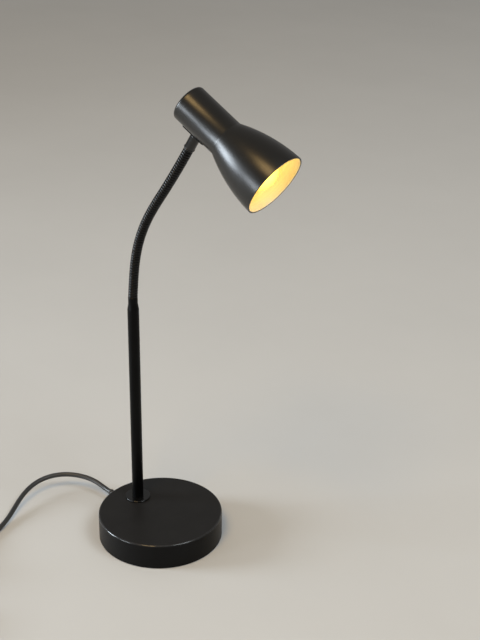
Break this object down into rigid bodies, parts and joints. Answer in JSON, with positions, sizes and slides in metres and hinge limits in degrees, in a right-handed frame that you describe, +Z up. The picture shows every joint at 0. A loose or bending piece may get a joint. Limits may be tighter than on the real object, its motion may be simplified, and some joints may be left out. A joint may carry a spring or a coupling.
{
  "type": "desk lamp",
  "caption": "Desk lamp with a round weighted base, straight stem, bendable ribbed neck and a flared metal shade with a bulb, mains cord, cord switch and plug.",
  "frame": {"origin": "centre of the base's underside, on the surface that the lamp stands on", "axes": "+Z up, +X from the stem towards the front of the base, +Y to the left of that"},
  "size_m": [0.3444, 0.4405, 0.5645],
  "materials": {
    "black_coat": "satin",
    "cast_weight": "matte",
    "foam": "matte",
    "zinc_steel": "satin",
    "black_plastic": "satin",
    "holder_plastic": "gloss",
    "block_plastic": "matte",
    "cord_sheath": "satin",
    "wire_cover": "gloss",
    "brass": "satin",
    "lit_glass": "matte"
  },
  "bodies": {
    "base": {"base_cover": "black_coat", "base_pad": "foam", "base_plate": "zinc_steel", "base_plate_screws": "zinc_steel", "base_small_screws": "zinc_steel", "base_weight": "cast_weight", "cord_bush": "black_plastic", "cord_clamp": "black_plastic", "cord_coil": "cord_sheath", "cord_inner": "cord_sheath", "cord_to_coil": "cord_sheath", "cord_to_plug": "cord_sheath", "cord_to_switch": "cord_sheath", "plug_body": "black_plastic", "plug_pins": "zinc_steel", "rocker_pin": "zinc_steel", "stem_bush": "zinc_steel", "stem_collar": "black_coat", "stem_nipple": "zinc_steel", "stem_nut": "zinc_steel", "stem_tube": "black_coat", "stem_washer": "zinc_steel", "stem_wires": "wire_cover", "switch_case_lower": "black_plastic", "switch_case_upper": "black_plastic", "switch_contacts": "brass", "switch_screws": "zinc_steel", "terminal_block": "block_plastic"},
    "link_01": {"neck_link_01": "black_coat"},
    "link_02": {"neck_link_02": "black_coat"},
    "link_03": {"neck_link_03": "black_coat"},
    "link_04": {"neck_link_04": "black_coat"},
    "link_05": {"neck_link_05": "black_coat"},
    "link_06": {"neck_link_06": "black_coat"},
    "link_07": {"neck_link_07": "black_coat"},
    "link_08": {"neck_link_08": "black_coat"},
    "link_09": {"neck_link_09": "black_coat"},
    "link_10": {"neck_link_10": "black_coat"},
    "link_11": {"neck_link_11": "black_coat"},
    "link_12": {"neck_link_12": "black_coat"},
    "link_13": {"neck_link_13": "black_coat"},
    "link_14": {"neck_link_14": "black_coat"},
    "link_15": {"neck_link_15": "black_coat"},
    "link_16": {"neck_link_16": "black_coat", "neck_ferrule": "black_coat", "swivel_ring": "black_coat", "swivel_pivot": "zinc_steel", "swivel_spring": "zinc_steel", "swivel_nut": "zinc_steel"},
    "head": {"head_shell": "black_coat", "saddle_plate": "black_coat", "shoe_washer": "zinc_steel", "holder_bracket": "zinc_steel", "lampholder": "holder_plastic", "lampholder_contacts": "brass", "lampholder_screws": "zinc_steel", "head_wires": "wire_cover", "bulb_glass": "lit_glass", "bulb_cap": "zinc_steel"},
    "rocker": {"switch_rocker": "black_plastic"}
  },
  "joints": [
    {"name": "neck_bend_01", "type": "hinge", "parent": "base", "child": "link_01", "pos_m": [-0.0425, 0, 0.3036], "axis": [-0.1736, 0.9848, 0], "range_deg": [-9.38, 6.88]},
    {"name": "neck_sway_01", "type": "hinge", "parent": "link_01", "child": "link_02", "pos_m": [-0.04141, 0.00019, 0.31705], "axis": [0.9808, 0.1729, -0.0905], "range_deg": [-6.25, 6.25]},
    {"name": "neck_bend_02", "type": "hinge", "parent": "link_02", "child": "link_03", "pos_m": [-0.04021, 0.0004, 0.33048], "axis": [-0.1736, 0.9848, 0], "range_deg": [-9.38, 6.88]},
    {"name": "neck_sway_02", "type": "hinge", "parent": "link_03", "child": "link_04", "pos_m": [-0.03854, 0.0007, 0.34386], "axis": [0.9686, 0.1708, -0.1804], "range_deg": [-6.25, 6.25]},
    {"name": "neck_bend_03", "type": "hinge", "parent": "link_04", "child": "link_05", "pos_m": [-0.03615, 0.00112, 0.35713], "axis": [-0.1736, 0.9848, 0], "range_deg": [-9.38, 6.88]},
    {"name": "neck_sway_03", "type": "hinge", "parent": "link_05", "child": "link_06", "pos_m": [-0.03284, 0.0017, 0.3702], "axis": [0.932, 0.1643, -0.323], "range_deg": [-6.25, 6.25]},
    {"name": "neck_bend_04", "type": "hinge", "parent": "link_06", "child": "link_07", "pos_m": [-0.02855, 0.00246, 0.38296], "axis": [-0.1736, 0.9848, 0], "range_deg": [-9.38, 6.88]},
    {"name": "neck_sway_04", "type": "hinge", "parent": "link_07", "child": "link_08", "pos_m": [-0.02329, 0.00339, 0.39535], "axis": [0.8733, 0.154, -0.4623], "range_deg": [-6.25, 6.25]},
    {"name": "neck_bend_05", "type": "hinge", "parent": "link_08", "child": "link_09", "pos_m": [-0.01715, 0.00447, 0.40731], "axis": [-0.1736, 0.9848, 0], "range_deg": [-9.38, 6.88]},
    {"name": "neck_sway_05", "type": "hinge", "parent": "link_09", "child": "link_10", "pos_m": [-0.0103, 0.00568, 0.41887], "axis": [0.8218, 0.1449, -0.551], "range_deg": [-6.25, 6.25]},
    {"name": "neck_bend_06", "type": "hinge", "parent": "link_10", "child": "link_11", "pos_m": [-0.00298, 0.00697, 0.43013], "axis": [-0.1736, 0.9848, 0], "range_deg": [-9.38, 6.88]},
    {"name": "neck_sway_06", "type": "hinge", "parent": "link_11", "child": "link_12", "pos_m": [0.00453, 0.00829, 0.44126], "axis": [0.8188, 0.1444, -0.5556], "range_deg": [-6.25, 6.25]},
    {"name": "neck_bend_07", "type": "hinge", "parent": "link_12", "child": "link_13", "pos_m": [0.01191, 0.00959, 0.45248], "axis": [-0.1736, 0.9848, 0], "range_deg": [-9.38, 6.88]},
    {"name": "neck_sway_07", "type": "hinge", "parent": "link_13", "child": "link_14", "pos_m": [0.01916, 0.01087, 0.46378], "axis": [0.8317, 0.1467, -0.5355], "range_deg": [-6.25, 6.25]},
    {"name": "neck_bend_08", "type": "hinge", "parent": "link_14", "child": "link_15", "pos_m": [0.02627, 0.01213, 0.47518], "axis": [-0.1736, 0.9848, 0], "range_deg": [-9.38, 6.88]},
    {"name": "neck_sway_08", "type": "hinge", "parent": "link_15", "child": "link_16", "pos_m": [0.03325, 0.01336, 0.48666], "axis": [0.8441, 0.1488, -0.515], "range_deg": [-6.25, 6.25]},
    {"name": "head_swivel", "type": "hinge", "parent": "link_16", "child": "head", "pos_m": [0.06093, 0.01824, 0.53343], "axis": [0.5072, 0.0894, 0.8572], "range_deg": [-150, 150]},
    {"name": "switch_rocker", "type": "hinge", "parent": "base", "child": "rocker", "pos_m": [-0.118, -0.253, 0.0125], "axis": [1, 0, 0], "range_deg": [-18, 0]}
  ]
}
